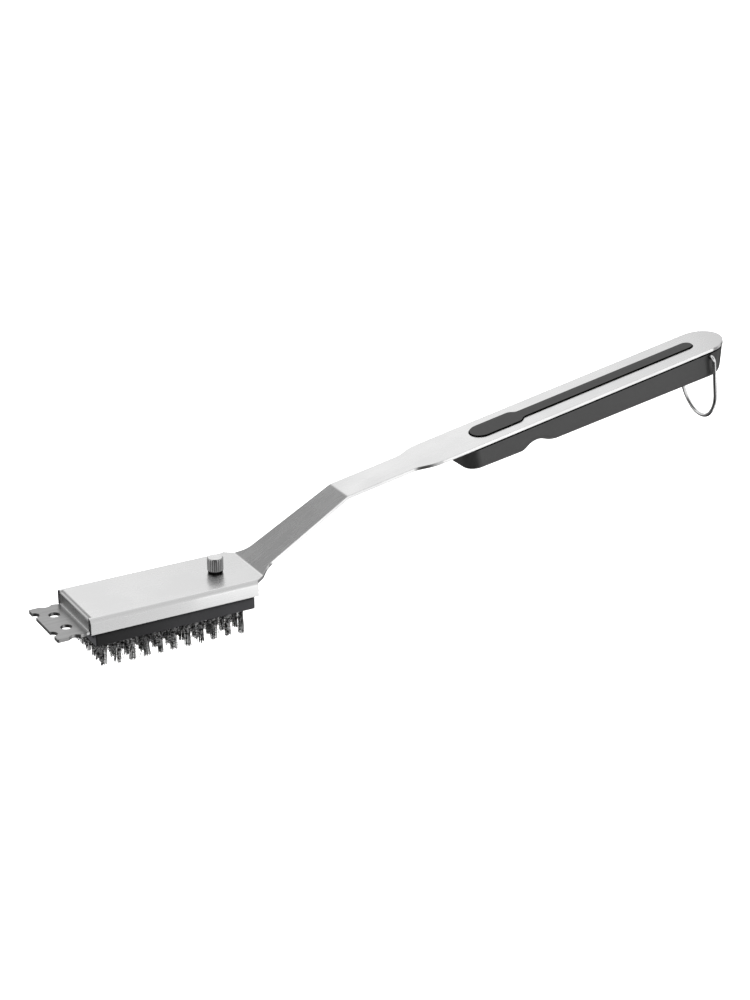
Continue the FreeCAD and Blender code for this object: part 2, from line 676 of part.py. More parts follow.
def tuft(x, y):
    """One bundle of wires: a straight root in its hole, then a slightly spreading brush."""
    root_top = -BLOCK_DEPTH + TUFT_HOLE_DEPTH - CLEARANCE
    tip = -BLOCK_DEPTH - BRISTLE_LENGTH
    root = cylinder(TUFT_ROOT_RADIUS, -BLOCK_DEPTH, root_top, x, y)
    spread = Part.makeCone(TUFT_TIP_RADIUS, TUFT_ROOT_RADIUS, BRISTLE_LENGTH, vec(x, y, tip), UP)
    return fused([root, spread]).cut(staple_bar(x, y))


def tuft_row(row):
    return Part.makeCompound([tuft(tuft_x(i), row_y(row)) for i in range(TUFTS_PER_ROW)])


def staple_row(row):
    return Part.makeCompound([staple_bar(tuft_x(i), row_y(row)) for i in range(TUFTS_PER_ROW)])


# ---- thumb screw -------------------------------------------------------------------------
def thumb_screw():
    head = cylinder(SCREW_HEAD_RADIUS, WASHER_HEIGHT, WASHER_HEIGHT + SCREW_HEAD_HEIGHT)
    head = head.makeChamfer(SCREW_HEAD_EDGE, [e for e in head.Edges if e.BoundBox.ZLength < 0.01])
    grooves = []
    for index in range(KNURL_COUNT):
        angle = 2 * math.pi * index / KNURL_COUNT
        x = SCREW_HEAD_RADIUS * math.cos(angle)
        y = SCREW_HEAD_RADIUS * math.sin(angle)
        grooves.append(cylinder(KNURL_RADIUS, 0, WASHER_HEIGHT + SCREW_HEAD_HEIGHT + 1, x, y))
    head = head.cut(Part.makeCompound(grooves))
    shank = cylinder(SHANK_RADIUS, -SHANK_LENGTH, WASHER_HEIGHT)
    screw = fused([head, shank])
    screw.translate(vec(SCREW_X, 0, 0))
    return screw


def ring(outer, inner, bottom, top):
    return cylinder(outer, bottom, top, SCREW_X).cut(cylinder(inner, bottom - 1, top + 1, SCREW_X))


def screw_washer():
    return ring(WASHER_RADIUS, SHANK_RADIUS + RUNNING_GAP, 0, WASHER_HEIGHT)


def threaded_insert():
    return ring(INSERT_RADIUS, SHANK_RADIUS + RUNNING_GAP, -BLOCK_TOP - INSERT_LENGTH, -BLOCK_TOP)


# ---- write every node --------------------------------------------------------------------
def all_nodes():
    nodes = {
        "handle_frame": handle_frame(),
        "grip_shell": handle_to_head(grip_shell()),
        "grip_inlay": handle_to_head(grip_inlay()),
        "grip_screws": handle_to_head(grip_screws()),
        "hanging_loop": handle_to_head(hanging_loop()),
        "thumb_screw": thumb_screw(),
        "screw_washer": screw_washer(),
        "threaded_insert": threaded_insert(),
        "brush_block": brush_block(),
    }
    for row in range(TUFT_ROWS):
        nodes["tuft_row_%d" % (row + 1)] = tuft_row(row)
        nodes["staple_row_%d" % (row + 1)] = staple_row(row)
    return nodes


os.makedirs("parts", exist_ok=True)
for name, shape in all_nodes().items():
    placed = to_row(shape)
    placed.exportStep("parts/%s.step" % name)
    limits = placed.BoundBox
    print("%-16s solids %2d valid %s volume %9.1f  x %.1f..%.1f y %.1f..%.1f z %.1f..%.1f" % (
        name, len(placed.Solids), placed.isValid(), placed.Volume, limits.XMin, limits.XMax,
        limits.YMin, limits.YMax, limits.ZMin, limits.ZMax))
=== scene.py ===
import json
import math

import bpy
import numpy as np
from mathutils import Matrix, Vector

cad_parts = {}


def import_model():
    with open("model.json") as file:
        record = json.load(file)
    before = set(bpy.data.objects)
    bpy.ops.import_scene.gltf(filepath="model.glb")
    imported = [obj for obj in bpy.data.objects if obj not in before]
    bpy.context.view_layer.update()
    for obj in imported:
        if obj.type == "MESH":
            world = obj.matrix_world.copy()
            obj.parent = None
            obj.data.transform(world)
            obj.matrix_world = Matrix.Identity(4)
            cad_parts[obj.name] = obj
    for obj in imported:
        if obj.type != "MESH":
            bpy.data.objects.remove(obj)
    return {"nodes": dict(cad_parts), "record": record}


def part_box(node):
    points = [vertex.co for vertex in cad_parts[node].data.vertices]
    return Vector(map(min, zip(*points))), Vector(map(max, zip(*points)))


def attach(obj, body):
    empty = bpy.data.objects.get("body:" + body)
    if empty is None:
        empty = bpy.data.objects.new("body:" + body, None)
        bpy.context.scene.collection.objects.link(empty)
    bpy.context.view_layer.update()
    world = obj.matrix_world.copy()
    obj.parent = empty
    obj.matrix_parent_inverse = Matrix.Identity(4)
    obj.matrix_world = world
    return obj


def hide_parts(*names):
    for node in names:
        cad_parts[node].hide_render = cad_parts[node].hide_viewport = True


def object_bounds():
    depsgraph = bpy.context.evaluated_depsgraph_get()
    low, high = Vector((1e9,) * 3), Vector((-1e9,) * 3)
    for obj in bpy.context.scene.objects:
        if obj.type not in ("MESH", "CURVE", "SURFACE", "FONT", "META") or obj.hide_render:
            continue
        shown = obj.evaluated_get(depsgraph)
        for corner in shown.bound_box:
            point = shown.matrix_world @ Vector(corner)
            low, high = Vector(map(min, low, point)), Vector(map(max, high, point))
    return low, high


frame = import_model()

# Dresses the CAD pieces of the grill brush in procedural materials, replaces the tufts with
# crimped wires, and sets the camera, the floor, the lights and the surround.
# Lengths are in metres. Directions point away from the brush.

CAD_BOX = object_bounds()
MM = 0.001
WHITE = (1, 1, 1, 1)

# ---- camera, floor and light -------------------------------------------------------------
CAMERA_FROM_CENTRE = Vector((-0.5946, -1.0159, 0.4861))
CAMERA_TURN = (67.2654, 0.1671, -29.6154)      # degrees about X, Y and Z
CAMERA_LENS = 78.53                            # mm
SENSOR_HEIGHT = 36.0                           # mm
CAMERA_FAR = 100.0

FLOOR_HALF = 30.0
FLOOR_DROP = 34.0 * MM                         # below the tips, clear of the released block
FLOOR_GLOW = 0.85

OVERHEAD_FROM_CENTRE = Vector((0.1, 0.1, 1.6))
OVERHEAD_SIZE = 2.0
OVERHEAD_POWER = 14.0
CARD_FROM_HEAD = Vector((0.035, -0.055, -0.013))
CARD_SIZE = (0.10, 0.034)
CARD_POWER = 0.0036

# ---- surround ----------------------------------------------------------------------------
# A lobe is the direction of its middle, and the cosines of the angle from there at which it
# starts and at which it is full. The comments say where the main view sees its reflection.
BRIGHT_LOBE = ((0.24, 0.76, 0.60), 0.955, 0.985)         # strap
DIM_LOBE = ((-0.13, 0.83, 0.54), 0.925, 0.972)           # neck
OVERHEAD_LOBE = ((0.45, -0.35, 0.79), 0.75, 0.93)        # head's rounded near edge
BEHIND_LOBE = ((-0.30, -0.50, 0.80), 0.86, 0.97)         # neck's rounded near edge
EDGE_LOBE = ((0.56, -0.765, -0.32), 0.972, 0.992)        # strap's near cut edge
BESIDE_EDGE_LOBE = ((0.78, -0.56, -0.28), 0.962, 0.988)  # where that edge starts to turn
FLOOR_LOBE = ((0.45, -0.20, -0.87), 0.93, 0.98)          # flange's rounded lower edge

# A ramp is where it starts and ends along an axis, and the values there if not 0 and 1.
REAR_LOSS_RAMP = (0.41, 0.49, 0.0, 0.34)       # X, at the strap's rear end
AHEAD_RAMP = (0.45, 0.62)                      # Y, for the loss above
NEAR_RAMP = (-0.10, 0.30, 0.02, 0.80)          # X, level below the horizon on the near side
FAR_RAMP = (-0.75, -0.20, 0.26, 0.07)          # Z, level below the horizon on the far side
BEYOND_RAMP = (-0.15, 0.25)                    # Y, from the near side to the far side
UNDER_RAMP = (-0.80, -0.50, 0.12, 1.0)         # Z, straight down is dark
BELOW_RAMP = (0.08, -0.18)                     # Z, from above to below the horizon

UPPER_LEVEL = 0.81
BRIGHT_GAIN = 0.38
DIM_LOSS = 0.49
OVERHEAD_LOSS = 0.05
BEHIND_LOSS = 0.76
EDGE_GAIN = 0.9
BESIDE_EDGE_LOSS = 0.75
FLOOR_GAIN = 1.1

# ---- bristles ----------------------------------------------------------------------------
TUFTS_PER_ROW = 11
WORN_TUFTS = 2                                 # frayed ones at the front of each row
ROWS = 6
WIRES_PER_TUFT = 22
WIRE_POINTS = 60
WIRE_SIDES = 4                                 # four, so that a wire's ends are quads as well
WIRE_RADIUS = 0.19 * MM
CRIMP_LENGTH = 1.5 * MM
CRIMP_HEIGHT = 0.37 * MM
CRIMP_PLANE = 1.05                             # radians from +X that most crimps lie in
TUFT_PLANE_SCATTER = 0.35                      # radians, from tuft to tuft
WIRE_PLANE_SCATTER = 0.30                      # radians, from wire to wire
PHASE_SCATTER = 0.35                           # radians, within a tuft
ROOT_HIDDEN = 1.5 * MM                         # inside the block
TIP_CLEAR = 0.25 * MM                          # from a longest wire's end to the CAD tuft's
TUFT_FILL = 0.88                               # share of the CAD tuft's radius
ROOT_GATHER = 0.82                             # share of that at the roots
TIP_SPREAD = (1.36, 0.17)                      # tip's radius over root's: mean and scatter
WIRE_DRIFT = 0.16 * MM
TUFT_DRIFT = 0.30 * MM
STRAY_CHANCE = 0.07
STRAY_CHANCE_WORN = 0.16                       # added at full wear
STRAY_REACH = 1.4 * MM
SHORTER = 0.6                                  # mm, scatter of the wires' lengths
SHORTER_WORN = 0.9                             # mm, added at full wear
TUFT_SHORTER = 0.5 * MM                        # at most, from tuft to tuft
BEND_POWER = 1.7                               # wires bend most near their tips
TUFT_SEED = 4127

# ---- steel -------------------------------------------------------------------------------
HANDLE_ANGLE = math.radians(10.5)              # strap above the horizontal
WALL_TO_BLOCK = 3.3 * MM                       # front wall's outer face to the block
FLANGE_INNER = 20.9 * MM                       # side flanges lie beyond this, from the middle
SHEET_EDGE = 0.45 * MM                         # rounding left by deburring
STEEL_SHADE_REACH = 1.6 * MM                          # painted shade darkens the steel this close to a gap
SCRAPER_FADE = (2.2 * MM, 0.2 * MM)            # ahead of the front wall, from full painted shade and wear to none
SCRAPER_SHADE = 0.54                            # share of the scraper's brightness taken by painted shade
FRONT_FACING = -0.7                            # a normal's X below this looks ahead
SIDE_FACING = 0.75                             # a normal's Y beyond this looks sideways
WALL_HALF = 0.5 * MM                           # the front wall's face lies within this of its X
# Share of the front wall's brightness taken by painted shade.
WALL_SHADE = 0.26
FLANGE_EDGE_SHADOW = 0.95                              # painted shadow: share lost on the flanges' front edges
STEEL_SHADE_RAMP = (0.20, 0.50, 0.10, 1.0)            # shelter, and the brightness that painted shade leaves there
HAIR_ACROSS = 3600.0                           # the grain's frequencies, per metre
HAIR_ALONG = 28.0
STREAK_ACROSS = 520.0
STREAK_ALONG = 9.0

# ---- other surfaces ----------------------------------------------------------------------
NOISE_LOW, NOISE_HIGH = 0.3, 0.7               # most of a noise lies between these
PLASTIC_SHADE_REACH = 2.4 * MM                         # painted shade makes plastic black this close to a gap
PLASTIC_SHADE_RAMP = (0.58, 0.92)                      # shelter, from black painted shade to unshaded
PLASTIC_SHADE_FLOOR = 0.10                             # share of the colour that painted shade leaves in a gap
# The block's own reach and range for the painted shade in gaps.
BLOCK_REACH = 8 * MM
BLOCK_RAMP = (0.77, 0.85)
TOP_RAMP = (0.80, 0.97)                        # cosine of a face's turn from the top
RUB_RANGE = (0.58, 0.74)                       # noise, from clean to rubbed
FRONT_LIGHT_RAMP = (0.6, 0.9, 0.0, 6.0)            # cosine from straight ahead, and the painted light's brightening
FRONT_REAR_LEVELS = (0.45, 3.2)                     # colour's factor at the front and the rear
SPECK_RAMP = (0.45, 0.54)                      # noise, from a painted dark speck to light
SPECK_LEAST_LEVEL = 0.6                             # least tone between the specks
FLUTE_SHADE_RAMP = (4.15 * MM, 4.55 * MM, 0.10, 0.62)  # knob's radius, and the brightness that painted shade leaves there


def box_centre(box):
    low, high = Vector(box[0]), Vector(box[1])
    return (low + high) / 2


def grey(level):
    return (level, level, level)


def show(piece):
    """Puts a new object into the scene."""
    bpy.context.scene.collection.objects.link(piece)


# ---- node helpers ------------------------------------------------------------------------
class Tree:
    """Short names for the nodes of one node tree."""

    def __init__(self, tree):
        self.tree = tree

    def new(self, kind):
        return self.tree.nodes.new(kind)

    def put(self, value, socket):
        """Links an output, or sets a plain value."""
        if isinstance(value, bpy.types.NodeSocket):
            self.tree.links.new(value, socket)
        else:
            socket.default_value = value

    def fill(self, node, values):
        """Puts values into a node's first inputs and returns its first output."""
        for value, socket in zip(values, node.inputs):
            self.put(value, socket)
        return node.outputs[0]

    def math(self, operation, first, second=0.0):
        made = self.new("ShaderNodeMath")
        made.operation = operation
        return self.fill(made, (first, second))

    def add(self, first, second):
        return self.math("ADD", first, second)

    def minus(self, first, second):
        return self.math("SUBTRACT", first, second)

    def times(self, first, second):
        return self.math("MULTIPLY", first, second)

    def rest(self, share):
        """One less the share."""
        return self.minus(1.0, share)

    def less(self, value, share, loss):
        """A value less a share of a loss."""
        return self.minus(value, self.times(share, loss))

    def remap(self, value, low, high, to_low=0.0, to_high=1.0, smooth=False):
        made = self.new("ShaderNodeMapRange")
        if smooth:
            made.interpolation_type = "SMOOTHSTEP"
        return self.fill(made, (value, low, high, to_low, to_high))

    def ramp(self, value, low, high, to_low=0.0, to_high=1.0):
        """A smooth step from to_low to to_high."""
        return self.remap(value, low, high, to_low, to_high, True)

    def spread(self, noise, to_low=0.0, to_high=1.0):
        """A noise stretched over a range."""
        return self.remap(noise, NOISE_LOW, NOISE_HIGH, to_low, to_high)

    def join(self, x, y, z):
        return self.fill(self.new("ShaderNodeCombineXYZ"), (x, y, z))

    def split(self, vector):
        made = self.new("ShaderNodeSeparateXYZ")
        self.put(vector, made.inputs[0])
        return made.outputs

    def place(self):
        return self.new("ShaderNodeTexCoord")

    def noise(self, vector, scale, detail=2.0, roughness=0.5):
        made = self.new("ShaderNodeTexNoise")
        self.put(vector, made.inputs["Vector"])
        made.inputs["Scale"].default_value = scale
        made.inputs["Detail"].default_value = detail
        made.inputs["Roughness"].default_value = roughness
        return made.outputs["Fac"]

    def cells(self, vector, scale):
        made = self.new("ShaderNodeTexVoronoi")
        self.put(vector, made.inputs["Vector"])
        made.inputs["Scale"].default_value = scale
        return made.outputs["Distance"]

    def dot(self, vector, fixed):
        made = self.new("ShaderNodeVectorMath")
        made.operation = "DOT_PRODUCT"
        self.put(vector, made.inputs[0])
        made.inputs[1].default_value = fixed
        return made.outputs["Value"]

    def shelter(self, reach):
        """Zero in narrow gaps, one in the open."""
        made = self.new("ShaderNodeAmbientOcclusion")
        made.samples = 8
        made.inputs["Distance"].default_value = reach
        return made.outputs["AO"]

    def tint(self, value, dark, light):
        """A colour ramp from dark to light."""
        made = self.new("ShaderNodeValToRGB")
        self.put(value, made.inputs["Fac"])
        made.color_ramp.elements[0].color = (*dark, 1)
        made.color_ramp.elements[1].color = (*light, 1)
        return made.outputs["Color"]

    def scaled(self, colour, factor):
        """A colour times a factor."""
        made = self.new("ShaderNodeVectorMath")
        made.operation = "SCALE"
        self.put(colour, made.inputs[0])
        self.put(factor, made.inputs["Scale"])
        return made.outputs[0]


class Surface(Tree):
    """A material's node tree with one Principled shader."""

    def __init__(self, name):
        self.material = bpy.data.materials.new(name)
        self.material.use_nodes = True
        super().__init__(self.material.node_tree)
        self.tree.nodes.clear()
        output = self.new("ShaderNodeOutputMaterial")
        self.shader = self.new("ShaderNodeBsdfPrincipled")
        self.tree.links.new(self.shader.outputs["BSDF"], output.inputs["Surface"])

    def set(self, **values):
        for key, value in values.items():
            self.put(value, self.shader.inputs[key.replace("_", " ")])

    def bump(self, height, strength, distance, edge=0.0):
        """Height as bump, over edges rounded by the radius edge."""
        made = self.new("ShaderNodeBump")
        if edge > 0:
            soft = self.new("ShaderNodeBevel")
            soft.samples = 6
            soft.inputs["Radius"].default_value = edge
            self.put(soft.outputs["Normal"], made.inputs["Normal"])
        made.inputs["Strength"].default_value = strength
        made.inputs["Distance"].default_value = distance
        self.put(height, made.inputs["Height"])
        self.set(Normal=made.outputs["Normal"])


# ---- materials ---------------------------------------------------------------------------
def sheet_wear_and_shade(g, x, y, facing, streak, fold_x):
    """How worn the scraper is, and the sheet's brightness after all painted shade.

    The scraper, ahead of fold_x, is rougher from use, and it and the front wall there have
    painted shade. Painted shade fills narrow gaps. The side flanges' front edges, beside the
    front wall, are painted black as shadow."""
    # Painted shade on the scraper ahead of the front wall, which is also rougher from use.
    scraper_wear_and_shade = g.ramp(x, fold_x - SCRAPER_FADE[0], fold_x - SCRAPER_FADE[1], 1.0, 0.0)
    scraper_wear_and_shade = g.times(scraper_wear_and_shade, g.spread(streak, 0.85, 1.0))
    front = g.times(g.math("LESS_THAN", facing[0], FRONT_FACING),
                    g.math("GREATER_THAN", x, fold_x - WALL_HALF))
    front = g.times(front, g.math("LESS_THAN", x, fold_x + WALL_HALF))
    on_flange = g.math("GREATER_THAN", g.math("ABSOLUTE", y), FLANGE_INNER)
    # Painted shadow on the flanges' front edges, beside the front wall.
    flange_edge_shadow = g.times(front, on_flange)
    # Painted shade in narrow gaps, from ambient occlusion.
    gap_shade = g.ramp(g.shelter(STEEL_SHADE_REACH), *STEEL_SHADE_RAMP)
    # The brightness left after all the painted shade.
    painted_shade_factor = g.less(1.0, scraper_wear_and_shade, SCRAPER_SHADE)
    # Painted shade on the front wall.
    painted_shade_factor = g.times(painted_shade_factor, g.less(1.0, front, WALL_SHADE))
    painted_shade_factor = g.times(g.times(painted_shade_factor, gap_shade), g.less(1.0, flange_edge_shadow, FLANGE_EDGE_SHADOW))
    return scraper_wear_and_shade, painted_shade_factor


def brushed_steel(name, base, roughness, grain, anisotropic, fold_x):
    """Sheet with hairline grain along X: streaks in colour, roughness and height.

    Its front wall is at fold_x."""
    g = Surface(name)
    place = g.place()
    x, y, z = g.split(place.outputs["Object"])
    facing = g.split(place.outputs["Normal"])
    sideways = g.math("GREATER_THAN", g.math("ABSOLUTE", facing[1]), SIDE_FACING)
    across = g.add(g.times(y, g.rest(sideways)), g.times(z, sideways))
    along = g.add(x, g.times(z, 0.4))
    hair = g.noise(g.join(g.times(along, HAIR_ALONG), g.times(across, HAIR_ACROSS), 0.0),
                   scale=1.0, detail=3.0, roughness=0.6)
    streak = g.noise(g.join(g.times(along, STREAK_ALONG), g.times(across, STREAK_ACROSS), 3.0),
                     scale=1.0, detail=2.0, roughness=0.55)
    smudge = g.noise(place.outputs["Object"], scale=38.0, detail=3.0, roughness=0.6)
    mixed = g.add(g.times(hair, 0.55), g.times(streak, 0.45))
    tone = g.add(g.times(mixed, 0.8), g.times(smudge, 0.2))
    dark = [c * (1 - grain) for c in base]
    light = [min(1.0, c * (1 + grain)) for c in base]
    scraper_wear_and_shade, painted_shade_factor = sheet_wear_and_shade(g, x, y, facing, streak, fold_x)
    rough = g.add(g.spread(mixed, roughness - 0.04, roughness + 0.04),
                  g.remap(smudge, 0.35, 0.65, -0.025, 0.035))
    rough = g.add(rough, g.times(scraper_wear_and_shade, 0.06))
    # The grain's colour, darkened by the painted shade.
    g.set(Base_Color=g.scaled(g.tint(g.spread(tone), dark, light), painted_shade_factor),
          Metallic=1.0, Roughness=rough, Anisotropic=anisotropic)
    tangent = g.new("ShaderNodeTangent")
    tangent.direction_type = "RADIAL"
    tangent.axis = "X"
    g.set(Tangent=tangent.outputs[0])
    g.bump(mixed, strength=0.10, distance=0.02 * MM, edge=SHEET_EDGE)
    return g.material


def moulded_plastic(name, dark, light, roughness, specular, grain_scale, grain_height,
                    top=None, length=None, reach=PLASTIC_SHADE_REACH, sheltered=PLASTIC_SHADE_RAMP):
    """Black plastic with a spark-eroded grain, cloudy gloss and faint rub marks.

    In gaps up to the reach, painted shade takes it from black to unshaded over the range
    sheltered.
    With top, faces that don't look that way get black painted shade as well.
    With length, the low and high X of the part, its front end gets a grey painted light, and it
    gets darker towards its front and lighter towards its rear."""
    g = Surface(name)
    place = g.place().outputs["Object"]
    grain = g.noise(place, grain_scale, detail=2.0, roughness=0.6)
    pits = g.cells(place, grain_scale * 0.8)
    cloud = g.noise(place, scale=30.0, detail=3.0, roughness=0.6)
    rub = g.remap(g.noise(place, scale=140.0, detail=4.0, roughness=0.7), *RUB_RANGE)
    colour = g.tint(g.add(g.spread(cloud, 0.1, 0.7), g.times(rub, 0.3)), dark, light)
    if length is not None:
        forwards = g.dot(g.place().outputs["Normal"], (-1.0, 0.0, 0.0))
        # Painted light: faces looking ahead are a lighter grey.
        painted_front_light = g.ramp(forwards, *FRONT_LIGHT_RAMP)
        # Darker towards the front, lighter towards the rear.
        front_to_rear = g.remap(g.split(place)[0], *length, *FRONT_REAR_LEVELS)
        colour = g.scaled(colour, g.add(painted_front_light, front_to_rear))
    # Painted shade: black in gaps, from ambient occlusion.
    unshaded = g.ramp(g.shelter(reach), *sheltered)
    if top is not None:
        # Painted shade: faces turned away from top are black.
        unshaded = g.times(unshaded, g.ramp(g.dot(g.place().outputs["Normal"], top), *TOP_RAMP))
    rough = g.add(g.spread(grain, roughness - 0.05, roughness + 0.07),
                  g.spread(cloud, -0.03, 0.04))
    # Share of the colour left by the painted shade, which also lowers the specular.
    unshaded_share = g.add(PLASTIC_SHADE_FLOOR, g.times(unshaded, 1 - PLASTIC_SHADE_FLOOR))
    g.set(Base_Color=g.scaled(colour, unshaded_share), Roughness=rough,
          Specular_IOR_Level=g.times(unshaded, specular))
    g.bump(g.add(grain, g.times(pits, 0.6)), strength=0.35, distance=grain_height)
    return g.material


def drawn_wire(name, dark, light, roughness, scale, speck_scale=0.0):
    """Bright drawn wire: fine die lines and a little unevenness.

    With a speck scale, it has dark and light specks of that scale: painted shade and
    highlights for the crimps' glints."""
    g = Surface(name)
    place = g.place().outputs["Object"]
    lines = g.noise(place, scale, detail=3.0, roughness=0.65)
    tone = g.spread(g.noise(place, scale / 12, detail=2.0, roughness=0.5))
    if speck_scale > 0:
        # Painted shade and highlights: dark specks between lighter wire, for the crimps'
        # glints.
        clean = g.ramp(g.noise(place, speck_scale, detail=2.0, roughness=0.6), *SPECK_RAMP)
        tone = g.times(clean, g.add(SPECK_LEAST_LEVEL, g.times(tone, 1 - SPECK_LEAST_LEVEL)))
    g.set(Base_Color=g.tint(tone, dark, light), Metallic=1.0,
          Roughness=g.spread(lines, roughness - 0.04, roughness + 0.06))
    g.bump(lines, strength=0.1, distance=0.01 * MM)
    return g.material


def turned_metal(name, base, roughness, centre):
    """Knurled screw: lathe rings on its top, painted shade on its sides, darkest in the flutes.
    """
    g = Surface(name)
    place = g.place()
    x, y, z = g.split(place.outputs["Object"])
    dx = g.minus(x, centre.x)
    dy = g.minus(y, centre.y)
    reach = g.math("SQRT", g.add(g.times(dx, dx), g.times(dy, dy)))
    rings = g.noise(g.join(g.times(reach, 5200.0), 0.0, g.times(z, 900.0)),
                    scale=1.0, detail=2.0, roughness=0.6)
    cloud = g.noise(place.outputs["Object"], scale=420.0, detail=3.0, roughness=0.6)
    tone = g.add(g.times(rings, 0.6), g.times(cloud, 0.4))
    # Painted shade: the sides are darker, darkest in the flutes. The end faces keep their
    # colour.
    flute_shade = g.ramp(reach, *FLUTE_SHADE_RAMP)
    end_face = g.ramp(g.split(place.outputs["Normal"])[2], 0.5, 0.9)
    share = g.add(g.times(flute_shade, g.rest(end_face)), end_face)
    colour = g.tint(g.spread(tone, 0.3, 1.0), [c * 0.7 for c in base], base)
    g.set(Base_Color=g.scaled(colour, share), Metallic=1.0,
          Roughness=g.spread(tone, roughness - 0.06, roughness + 0.1))
    g.bump(rings, strength=0.2, distance=0.03 * MM)
    return g.material


HANDLE_UP = (-math.sin(HANDLE_ANGLE), 0.0, math.cos(HANDLE_ANGLE))
FRONT_WALL_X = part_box("brush_block")[0].x - WALL_TO_BLOCK
BLOCK_LENGTH = (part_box("brush_block")[0].x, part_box("brush_block")[1].x)
SCREW_CENTRE = box_centre(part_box("thumb_screw"))

# The maker of each slot's material, and what it is told after the slot's name.
RECIPES = {
    "brushed_stainless": (brushed_steel, dict(
        base=grey(0.75), roughness=0.27, grain=0.022, anisotropic=0.45,
        fold_x=FRONT_WALL_X)),
    "grip_plastic": (moulded_plastic, dict(
        dark=grey(0.010), light=grey(0.018), roughness=0.40, specular=0.95,
        grain_scale=2600.0, grain_height=0.05 * MM)),
    "inlay_plastic": (moulded_plastic, dict(
        dark=grey(0.034), light=grey(0.050), roughness=0.55, specular=0.45,
        grain_scale=3200.0, grain_height=0.04 * MM, top=HANDLE_UP)),
    "block_plastic": (moulded_plastic, dict(
        dark=(0.008, 0.008, 0.009), light=(0.015, 0.015, 0.016), roughness=0.42,
        specular=0.30, grain_scale=1900.0, grain_height=0.05 * MM, length=BLOCK_LENGTH,
        reach=BLOCK_REACH, sheltered=BLOCK_RAMP)),
    "bristle_wire": (drawn_wire, dict(
        dark=grey(0.05), light=grey(0.88), roughness=0.24, scale=2400.0,
        speck_scale=640.0)),
    "staple_wire": (drawn_wire, dict(
        dark=grey(0.48), light=grey(0.66), roughness=0.34, scale=1800.0)),
    "loop_wire": (drawn_wire, dict(
        dark=grey(0.90), light=grey(0.98), roughness=0.22, scale=1500.0)),
    "zinc_screw": (drawn_wire, dict(
        dark=(0.50, 0.50, 0.52), light=(0.68, 0.68, 0.70), roughness=0.33, scale=1300.0)),
    "insert_brass": (drawn_wire, dict(
        dark=(0.62, 0.46, 0.20), light=(0.80, 0.62, 0.30), roughness=0.30, scale=1300.0)),
    "black_washer": (moulded_plastic, dict(
        dark=grey(0.012), light=grey(0.024), roughness=0.6, specular=0.3,
        grain_scale=2400.0, grain_height=0.04 * MM)),
    "thumb_screw_metal": (turned_metal, dict(
        base=grey(0.86), roughness=0.18, centre=SCREW_CENTRE)),
}
MATERIALS = {name: maker(name, **told) for name, (maker, told) in RECIPES.items()}


# ---- CAD nodes that stay -----------------------------------------------------------------
def dress_cad_nodes():
    for part in frame["record"]["subparts"]:
        mesh = frame["nodes"][part["node"]].data
        mesh.materials.clear()
        mesh.materials.append(MATERIALS[part["material_slot"]])


# ---- bristles ----------------------------------------------------------------------------
def wire_paths(rng, centre, radius, z_low, z_high, wear):
    """Centre lines of one tuft's crimped wires, from inside the block down to the tips.

    Wear, from 0 to 1, frays and shortens the wires, as at the brush's front."""
    count = WIRES_PER_TUFT
    golden = math.pi * (3 - math.sqrt(5))
    order = np.arange(count) + 0.5
    spin = rng.uniform(0, 2 * math.pi)
    home_r = radius * TUFT_FILL * np.sqrt(order / count)
    home_a = order * golden + spin
    root = np.stack([home_r * np.cos(home_a), home_r * np.sin(home_a)], 1) * ROOT_GATHER
    spread = rng.normal(*TIP_SPREAD, (count, 1))
    drift = rng.normal(0, WIRE_DRIFT, (count, 2)) + rng.normal(0, TUFT_DRIFT, 2)
    is_stray = rng.uniform(0, 1, (count, 1)) < STRAY_CHANCE + STRAY_CHANCE_WORN * wear
    stray = is_stray * rng.normal(0, STRAY_REACH, (count, 2))
    tip = root * spread + drift + stray
    shorter = np.abs(rng.normal(0, (SHORTER + SHORTER_WORN * wear) * MM, count))
    length = (z_high - z_low) - TIP_CLEAR - shorter - rng.uniform(0, TUFT_SHORTER)
    share = np.linspace(0, 1, WIRE_POINTS)
    ease = share ** BEND_POWER
    path = np.zeros((count, WIRE_POINTS, 3))
    path[:, :, :2] = root[:, None, :] + (tip - root)[:, None, :] * ease[None, :, None]
    path[:, :, 2] = z_high - length[:, None] * share[None, :]
    plane = (CRIMP_PLANE + rng.normal(0, TUFT_PLANE_SCATTER)
             + rng.normal(0, WIRE_PLANE_SCATTER, count))
    phase = rng.uniform(0, 2 * math.pi) + rng.normal(0, PHASE_SCATTER, count)
    turn = phase[:, None] + 2 * math.pi * (length[:, None] * share[None, :]) / CRIMP_LENGTH
    wave = np.sin(turn) * CRIMP_HEIGHT
    path[:, :, 0] += wave * np.cos(plane)[:, None] + centre[0]
    path[:, :, 1] += wave * np.sin(plane)[:, None] + centre[1]
    return path


def tube_faces(count, points):
    """Quads of count closed tubes with points rings each: their sides and both ends."""
    wire, step, turn = np.meshgrid(np.arange(count), np.arange(points - 1),
                                   np.arange(WIRE_SIDES), indexing="ij")
    base = (wire * points + step) * WIRE_SIDES
    following = (turn + 1) % WIRE_SIDES
    sides = np.stack([base + turn, base + following, base + WIRE_SIDES + following,
                      base + WIRE_SIDES + turn], -1).reshape(-1, 4)
    starts = np.arange(count)[:, None] * points * WIRE_SIDES
    corners = np.arange(WIRE_SIDES)[None, :]
    tops = starts + corners[:, ::-1]
    ends = starts + (points - 1) * WIRE_SIDES + corners
    return np.concatenate([sides, tops, ends])


